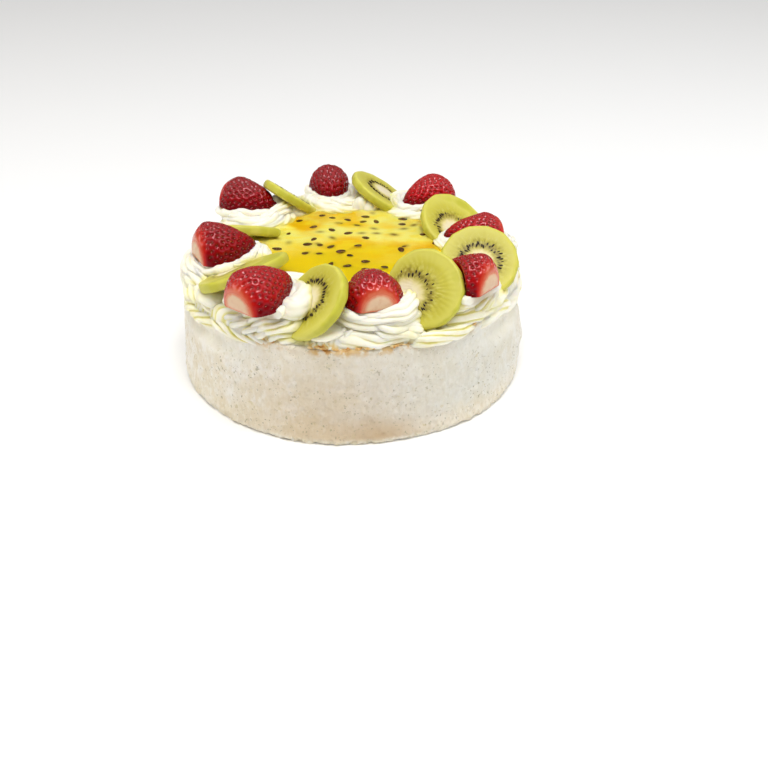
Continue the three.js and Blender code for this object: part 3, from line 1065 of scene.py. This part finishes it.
def seed_lattice(berry, count):
    """Where a berry's seeds sit, as t and the angle round it, evenly spread in a spiral."""
    t = np.linspace(0, 1, 400)
    width = 0.5 * berry["width"] * girth(t, berry["point"])
    slope = np.hypot(np.gradient(width, t), berry["length"])
    area = np.cumsum(width * slope)
    area /= area[-1]
    k = (np.arange(count) + 0.5) / count
    turn = (np.arange(count) * math.pi * (3 - math.sqrt(5))) % TAU
    return np.interp(k, area, t), turn


def berry_surface(berry, t, turn):
    """Points of a berry's skin in its own frame."""
    corner = np.clip(1 - t / HULL_ROUND, 0, 1)
    g = girth(t, berry["point"]) * (0.84 + 0.16 * np.sqrt(1 - corner ** 2))
    y = -0.5 * berry["width"] * g * np.cos(turn)
    return np.stack([berry["length"] * (0.5 - t), y, berry["depth"] * g * np.sin(turn)], -1)


def seed_seats(berry, rng):
    """Where a berry's seeds sit on its skin, a little out of line."""
    count = int(BERRY_SEEDS * (berry["length"] / USUAL_LENGTH) ** 2)
    t, turn = seed_lattice(berry, count)
    turn = (turn + rng.uniform(0, TAU)) % TAU
    t = t + rng.normal(0, 0.006, count)
    turn = turn + rng.normal(0, 0.03, count)
    dome = (turn > 0.04) & (turn < math.pi - 0.04) & (t > 0.035) & (t < 0.985)
    return berry_surface(berry, t[dome], turn[dome])


def pitted_skin(berry, tt, aa, seats, number):
    """A berry's skin with a pit round each seed, and how deep in a pit each point is."""
    skin = berry_surface(berry, tt, aa)
    flat = skin.reshape(-1, 3)
    nearest = np.full(len(flat), 1e9)
    for seat in seats:
        apart = (flat - seat) / [1.25, 1, 1]
        nearest = np.minimum(nearest, (apart ** 2).sum(1))
    pit = np.exp(-nearest / PIT_RADIUS ** 2)
    normal = np.cross(np.gradient(skin, axis=0), np.gradient(skin, axis=1)).reshape(-1, 3)
    normal /= np.linalg.norm(normal, axis=1)[:, None] + 1e-12
    outward = flat / [berry["length"], berry["width"], berry["depth"]]
    normal *= np.sign((normal * outward).sum(1))[:, None]
    edge = step_between(0, 0.16, aa) * step_between(math.pi, math.pi - 0.16, aa)
    strength = (edge * step_between(0.02, 0.09, tt)).reshape(-1)
    shift = -PIT_DEPTH * pit + 0.5 * layered_noise(flat + 50 * number, 13, 80 + number, 2) - 0.25
    bumped = flat + normal * (shift * (0.25 + 0.75 * strength))[:, None]
    return bumped.reshape(skin.shape), (pit * strength).reshape(tt.shape)


def pressed_behind(points, berry, kiwi):
    """A berry's points, pushed back behind the kiwi slice that leans on it."""
    local = (points @ berry["axes"] + berry["origin"] - kiwi["origin"]) @ kiwi["axes"].T
    covered = step_between(kiwi["radius"] + 1.5, kiwi["radius"] - 1, reach_of(local))
    behind = -0.5 * kiwi["thickness"] - 0.3
    local[:, 2] -= covered * np.clip(local[:, 2] - behind, 0, None)
    return (local @ kiwi["axes"] + kiwi["origin"] - berry["origin"]) @ berry["axes"].T


def berry_steps():
    """The steps of a berry's skin: from the hull end to the tip, and the angles over its dome."""
    u = np.linspace(0, 1, BERRY_ROWS - HULL_ROWS)
    t = HULL_ROUND + (1 - HULL_ROUND) * (1 - (1 - u) ** 1.7)
    rounded = HULL_ROUND * (1 - np.cos(np.linspace(0, math.pi / 2, HULL_ROWS + 1)[:-1]))
    return np.r_[rounded, t], np.linspace(0, math.pi, BERRY_ARC)


def whole_berry(skin, number):
    """A berry's skin with its underside and, in rings, the cut face at its hull end."""
    back = np.linspace(0, 1, BERRY_FLOOR + 2)[None, 1:-1, None]
    underside = skin[:, -1:] * (1 - back) + skin[:, :1] * back
    rows = np.concatenate([skin, underside], axis=1)
    middle = rows[0].mean(0)
    hull = [middle + (rows[0] - middle) * share for share in HULL_SHARES]
    for ring, share in zip(hull, HULL_SHARES):
        ring[:, 0] += 0.9 * (1 - share ** 2) + 0.15 * noise(ring, 2.5, 90 + number)
    return np.concatenate([np.array(hull), rows])


def berry_layers(berry, grid, pit, t, arc, rng):
    """What a berry's material has to know of each point."""
    extra = len(HULL_SHARES)
    pits, cut, rim, pale = np.zeros((4, *grid.shape[:2]))
    pits[extra:, :BERRY_ARC] = pit
    cut[:extra + 1] = 1
    cut[extra:, BERRY_ARC:] = 1
    rim[:extra] = np.array(HULL_SHARES)[:, None] ** 2.6
    rim[extra] = 1
    reach = 1.3 + 3.6 * np.sin(arc) ** 2 + 0.3 * rng.normal()
    pale[:extra] = 1
    pale[extra:] = np.exp(-((t * berry["length"]) / 1.3) ** 1.2)[:, None]
    pale[extra:, :BERRY_ARC] = np.exp(-((t[:, None] * berry["length"] / reach) ** 1.2))
    heights = grid[..., 2] / berry["depth"]
    return {
        "pit": pits,
        "cut": cut,
        "rim": rim,
        "pale": pale,
        "ripe": np.full(heights.shape, berry["ripe"]),
        # darker towards the cut face: partly the skin's own colour, partly painted shade
        "low": step_between(0.45, 0.05, heights),
        "high": step_between(0.3, 0.7, heights) * (1 - cut),
    }


def make_berries(material, seed_material, berries, kiwis):
    t, arc = berry_steps()
    tt, aa = np.meshgrid(t, arc, indexing="ij")
    seeds = []
    for number, berry in enumerate(berries, 1):
        rng = np.random.default_rng(500 + number)
        seats = seed_seats(berry, rng)
        skin, pit = pitted_skin(berry, tt, aa, seats, number)
        grid = whole_berry(skin, number)
        layers = berry_layers(berry, grid, pit, t, arc, rng)
        points = grid.reshape(-1, 3)
        if number in PRESSED:
            points = pressed_behind(points, berry, kiwis[PRESSED[number] - 1])
        add_piece(f"strawberry_half_{number}", points, closed_tube(*grid.shape[:2]), material, "strawberry",
                  berry, layers, [f"strawberry_{number}"])
        seeds += berry_seeds(berry, seats)
    add_piece("strawberry_seeds", *joined(seeds), seed_material, "strawberry")


def berry_seeds(berry, seats):
    """A berry's seeds, each at the bottom of its pit and along the berry."""
    shape, faces = seed_shape(*BERRY_SEED)
    half = 0.5 * berry["width"]
    made = []
    for seat in seats:
        out = unit(seat * [0.35 / berry["length"], 1 / half, half / berry["depth"] ** 2])
        along = unit([1, 0, 0] - out[0] * out)
        side = np.cross(out, along)
        local = shape @ np.array([along, side, out]) + seat - out * (PIT_DEPTH * 0.9 + 0.05)
        made.append((local @ berry["axes"] + berry["origin"], faces))
    return made


# ---------- kiwi slices

def kiwi_outline(spokes, number):
    """How far the rim of a slice reaches at each spoke: flat strokes of a peeling knife."""
    rng = np.random.default_rng(700 + number)
    start = rng.uniform(0, TAU)
    step = TAU / KIWI_STROKES
    inside = ((spokes - start) % step) - step / 2
    facet = math.cos(step / 2) / np.cos(inside)
    slow = 0.018 * np.sin(2 * spokes + start) + 0.012 * np.sin(3 * spokes + 2 * start)
    return 0.35 + 0.65 * facet + slow


def slice_profile(thickness):
    """A slice's rings from the middle of one face to that of the other: share, inset, height."""
    half = thickness / 2
    bevel = min(KIWI_BEVEL, 0.8 * half)
    shares = np.linspace(0.02, 1, KIWI_RINGS)[:-1]
    turns = [(math.sin(b), math.cos(b)) for b in np.linspace(0, math.pi / 2, 5)]
    face = [(share, -bevel, half) for share in shares]
    rim = [(None, -bevel + bevel * s, half - bevel + bevel * c) for s, c in turns]
    lower = [(None, -bevel + bevel * c, -half + bevel - bevel * s) for s, c in turns]
    back = [(share, -bevel, -half) for share in shares[::-1]]
    return face + rim + [(None, 0.1, 0.0)] + lower + back


def slice_points(kiwi, number):
    """The points of a kiwi slice in its own frame, with ridges that run out from its core."""
    spokes = round_angles(KIWI_SPOKES)
    outline = kiwi["radius"] * kiwi_outline(spokes, number)
    wobble = 0.3 * layered_noise(circle(spokes) * 10 + 30 * number, 5, 44, 2)
    grid = []
    for share, inset, height in slice_profile(kiwi["thickness"]):
        if share is None:
            radius = outline + inset + wobble
        else:
            radius = outline * share * (1 + inset / outline) + wobble * share
        relative = radius / outline
        place = circle(spokes) * radius[:, None] + [0, 0, height]
        if share is not None:
            shifted = place + 60 * number
            ridges = np.sin(KIWI_RAYS * spokes + 5 * noise(shifted, 30, 45))
            zone = step_between(0.24, 0.4, relative) * step_between(0.98, 0.7, relative)
            sunk = 0.35 * step_between(0.30, 0.44, relative) * step_between(0.66, 0.5, relative)
            lift = 0.05 * ridges * zone - sunk + 0.35 * layered_noise(shifted, 12, 46, 2)
            place[:, 2] += np.sign(height) * lift * step_between(1.0, 0.9, relative)
        grid.append(place)
    return np.concatenate(grid)


def make_kiwis(material, seed_material, kiwis):
    seeds = []
    for number, kiwi in enumerate(kiwis, 1):
        points = slice_points(kiwi, number)
        core = np.array(CORES[number - 1])
        level = (points[:, :2] - core[:2]) / core[2:]
        rim_share = reach_of(points) / kiwi["radius"]
        core_share = reach_of(level) / (SEED_RING / SEED_REACH)
        outer = step_between(0.55, 1.0, rim_share)
        reach = core_share * (1 - outer) + np.maximum(rim_share, np.minimum(core_share, 0.9)) * outer
        layers = {"reach": reach, "core_x": level[:, 0], "core_y": level[:, 1]}
        faces = closed_tube(len(points) // KIWI_SPOKES, KIWI_SPOKES)
        add_piece(f"kiwi_slice_{number}", points, faces, material, "kiwi", kiwi, layers, [f"kiwi_{number}"])
        if number != SEEDLESS:
            seeds += kiwi_seeds(kiwi, core, np.random.default_rng(720 + number))
    add_piece("kiwi_seeds", *joined(seeds), seed_material, "kiwi")


def kiwi_seeds(kiwi, core, rng):
    """The ring of dark seeds in both faces of a slice, each pointing to the middle."""
    shape, faces = seed_shape(*KIWI_SEED, 7, 9, 0.5)
    made = []
    for side in (1, -1):
        for k in range(KIWI_SEEDS):
            turn = (k + rng.uniform(-0.35, 0.35)) / KIWI_SEEDS * TAU
            out = SEED_RING * (1 + rng.normal(0, 0.09))
            radial = np.array([math.cos(turn), math.sin(turn), 0])
            across = np.array([-math.sin(turn), math.cos(turn), 0])
            skew = rng.normal(0, 0.22)
            along = radial * math.cos(skew) + across * math.sin(skew)
            beside = np.cross([0, 0, 1], along)
            size = rng.uniform(0.75, 1.1)
            up = side * (kiwi["thickness"] / 2 - 0.2 + rng.uniform(-0.35, 0.1))
            seat = [*(radial[:2] * out * core[2:] + core[:2]), up]
            if math.hypot(*seat[:2]) > kiwi["radius"] - 3:
                continue
            local = size * shape @ np.array([-along, beside, [0, 0, 1]]) + seat
            made.append((local @ kiwi["axes"] + kiwi["origin"], faces))
    return made


# ---------- passionfruit

def pool_shape():
    """The topping's floor, top and reach."""
    low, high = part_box("passionfruit_topping")
    return low[2] / MM, high[2] / MM, reach_of(node_points("passionfruit_topping")).max()


def disc_grid(radius, step):
    """A round sheet as rings from the middle out: distance, angle, X and Y."""
    count = int(TAU * radius / step / 1.3)
    out = np.linspace(0.004, 1, int(radius / step)) * radius
    rr, tt = np.meshgrid(out, round_angles(count), indexing="ij")
    return rr, tt, rr * np.cos(tt), rr * np.sin(tt)


def spread_out(rr, tt, reach):
    """How much farther the topping has run out at each point of its sheet."""
    spill = SPILL_REACH * near_bearing(tt, SPILL_BEARING, SPILL_HALF)
    return 1 + spill * step_between(0.5, 1, rr / reach) / reach


def pip_smudges(pips, x, y):
    """Dark smudges in the pulp below the pips that lie deep in the jelly."""
    smudge = np.zeros(x.shape)
    for at in pips:
        if at["deep"]:
            dx, dy = x - at["x"], y - at["y"]
            along = dx * math.cos(at["turn"]) + dy * math.sin(at["turn"])
            across = -dx * math.sin(at["turn"]) + dy * math.cos(at["turn"])
            smudge = np.maximum(smudge, at["dark"] * np.exp(-((along / 2.7) ** 2) - (across / 1.7) ** 2))
    return smudge


def make_pool(pulp, jelly, pip):
    floor, top, reach = pool_shape()
    pips = place_pips(np.random.default_rng(900), reach, top)
    rr, tt, x, y = disc_grid(reach + 1, POOL_STEP)
    place = np.stack([x, y, 0 * x], -1)
    # the swirls come from noise; that they grow paler towards the rim and the back is painted light,
    # brightening the back of the pool where it lies in shade
    swirl = 0.37 + 0.2 * rr / reach + 0.2 * y / reach + 0.06 * x / reach
    swirl = step_between(0.42, 0.68, swirl + 0.5 * layered_noise(place * [1, 1.3, 1], 30, 91, 3))
    front = step_between(12, -26, y + 0.1 * x + 9 * noise(place, 22, 93))
    smudge = pip_smudges(pips, x, y)
    bed = top - 1.2 - 1.6 * front - 0.9 * (1 - swirl) + 0.4 * layered_noise(place, 10, 92, 2)
    grow = spread_out(rr, tt, reach)
    points = np.stack([x * grow, y * grow, bed], -1)
    points = np.concatenate([points, points[-1:] * [1, 1, 0] + [0, 0, floor]])
    layers = {
        "swirl": np.r_[swirl * (1 - 0.6 * front), swirl[-1:]],
        "deep": np.r_[front, front[-1:]],
        "smudge": np.r_[smudge, smudge[-1:]],
    }
    add_piece("passionfruit_pulp", points, closed_tube(*points.shape[:2]), pulp, "passionfruit",
              None, layers, ["passionfruit_topping"])
    make_jelly(jelly, pips, top, reach, floor)
    make_pips(pip, pips)


def place_pips(rng, reach, top):
    """Where the passionfruit seeds lie: kept apart, some near the surface and some deep."""
    found = []
    tries = 0
    while len(found) < PIPS and tries < PIP_TRIES:
        tries += 1
        out = reach * math.sqrt(rng.uniform(0, 0.86))
        turn = rng.uniform(0, TAU)
        x, y = out * math.cos(turn), out * math.sin(turn)
        if any(math.hypot(x - f["x"], y - f["y"]) < PIP_APART for f in found):
            continue
        if y < -12 and rng.uniform() < 0.62:
            continue
        deep = rng.uniform() < 0.5
        found.append({
            "x": x,
            "y": y,
            "z": top - (2.6 if deep else 1.2) - rng.uniform(0, 0.5),
            "turn": rng.normal(0, 0.6) + (math.pi if rng.uniform() < 0.5 else 0),
            "tip": rng.normal(0, 0.16),
            "size": rng.uniform(0.76, 1.2),
            "deep": deep,
            "dark": rng.uniform(0.5, 0.9),
        })
    return found


def make_jelly(material, pips, top, reach, floor):
    rr, tt, x, y = disc_grid(reach, JELLY_STEP)
    grow = spread_out(rr, tt, reach)
    domes = np.zeros(x.shape)
    for at in pips:
        if not at["deep"]:
            apart = (x - at["x"]) ** 2 + (y - at["y"]) ** 2
            domes = np.maximum(domes, 0.35 * np.exp(-apart / 7.0))
    edge = 3.0 * (1 - np.sqrt(np.clip(1 - np.clip((rr - (reach - 3)) / 3, 0, 1) ** 2, 0, 1)))
    surface = top - 0.45 + domes + 0.2 * noise(np.stack([x, y, 0 * x], -1), 17, 95) - edge
    upper = np.stack([x * grow, y * grow, surface], -1)
    lower = upper[::-1] * [1, 1, 0] + [0, 0, floor + 0.2]
    faces = closed_tube(2 * len(rr), rr.shape[1])
    add_piece("passionfruit_jelly", np.concatenate([upper, lower]), faces, material, "passionfruit")


def make_pips(material, pips):
    shape, faces = seed_shape(*PIP, 11, 16, 0.25)
    made = []
    for at in pips:
        along = np.array([
            math.cos(at["turn"]) * math.cos(at["tip"]),
            math.sin(at["turn"]) * math.cos(at["tip"]),
            math.sin(at["tip"]),
        ])
        side = unit(np.cross([0, 0, 1], along))
        axes = np.array([along, side, np.cross(along, side)])
        made.append((at["size"] * shape @ axes + [at["x"], at["y"], at["z"]], faces))
    add_piece("passionfruit_pips", *joined(made), material, "passionfruit")


# ---------- crumbs

def make_flakes(material):
    """Toasted flakes of meringue crust along the rim."""
    heights, angles, rows = drum_profile()
    top = heights[-1]
    rng = np.random.default_rng(1200)
    made = []
    for _ in range(FLAKE_TRIES):
        turn = rng.uniform(0, TAU)
        if toast_at(np.array([turn]))[0] < rng.uniform(0.15, 0.9):
            continue
        column = int(turn / TAU * WALL_COLUMNS) % WALL_COLUMNS
        wall = wall_radius(heights, angles, rows, top - 3)[column]
        length = rng.uniform(1.4, 5.5)
        width = rng.uniform(1.0, 2.2)
        points, faces = seed_shape(length, width, rng.uniform(0.5, 1.1), 7, 8, 0.1)
        points = points + 0.35 * shaken(points + 9 * len(made), 1.3, (1, 2, 3))
        out = np.array([math.cos(turn), math.sin(turn), 0])
        around = np.array([-math.sin(turn), math.cos(turn), 0])
        tilt = rng.normal(0, 0.25)
        along = around * math.cos(tilt) + np.array([0, 0, 1]) * math.sin(tilt)
        side = np.cross(out, along)
        place = out * (wall - rng.uniform(0.6, 3.2)) + [0, 0, top - rng.uniform(-0.7, 0.9)]
        made.append((points @ np.array([along, side, out]) + place, faces))
    add_piece("toasted_flakes", *joined(made), material, "meringue")


# ---------- studio

def add_camera():
    data = bpy.data.cameras.new("camera")
    data.lens = CAMERA_LENS
    data.sensor_width = 36.0
    data.clip_start = 0.01
    made = add_object("camera", data)
    made.location = CAMERA_PLACE
    made.rotation_euler = Vector(CAMERA_AHEAD).to_track_quat("-Z", "Y").to_euler()
    bpy.context.scene.camera = made


def add_light(name, place, size, power, colour=(1, 1, 1)):
    data = bpy.data.lights.new(name, "AREA")
    data.shape = "DISK"
    data.size = size
    data.energy = power
    data.color = colour
    made = add_object(name, data)
    made.location = place
    made.rotation_euler = (Vector(LIT_PLACE) - Vector(place)).to_track_quat("-Z", "Y").to_euler()


def add_studio():
    world = bpy.data.worlds.new("studio")
    world.use_nodes = True
    background = world.node_tree.nodes["Background"]
    background.inputs["Color"].default_value = (1, 0.98, 0.94, 1)
    background.inputs["Strength"].default_value = 0.2
    bpy.context.scene.world = world
    add_light("key", (0.05, -0.42, 1.4), 0.8, 13.5)
    add_light("left", (-1.3, -0.1, 0.5), 0.8, 3.6, (1.0, 0.95, 0.87))
    add_light("right", (1.2, -0.1, 0.7), 0.8, 3.6)
    sky = bpy.data.lights.new("ceiling", "SUN")
    sky.energy = 0.95
    sky.angle = math.radians(100)
    add_object("ceiling", sky)
    half = FLOOR_HALF
    mesh = bpy.data.meshes.new("studio_floor")
    corners = [(-half, -half, 0), (half, -half, 0), (half, half, 0), (-half, half, 0)]
    mesh.from_pydata(corners, [], [(0, 1, 2, 3)])
    mesh.materials.append(floor_material())
    add_object("studio_floor", mesh)
    bpy.context.scene.view_settings.view_transform = "Standard"
    bpy.context.scene.view_settings.look = "None"


# ---------- the cake

def make_cake():
    berries = [berry_pose(f"strawberry_{n}") for n in range(1, 9)]
    kiwis = [kiwi_pose(f"kiwi_{n}", n) for n in range(1, 9)]
    cream = {"material": cream_material(), "kiwis": kiwis, "pool": pool_shape()[2]}
    make_meringue(meringue_material())
    make_cream_layer(cream)
    make_rosettes(cream, berries)
    make_hugs(cream, berries)
    make_lips(cream)
    make_collars(cream, berries)
    make_berries(berry_material(), berry_seed_material(), berries, kiwis)
    make_kiwis(kiwi_material(), kiwi_seed_material(), kiwis)
    make_pool(pulp_material(), jelly_material(), pip_material())
    make_flakes(flake_material())


add_camera()
add_studio()
make_cake()
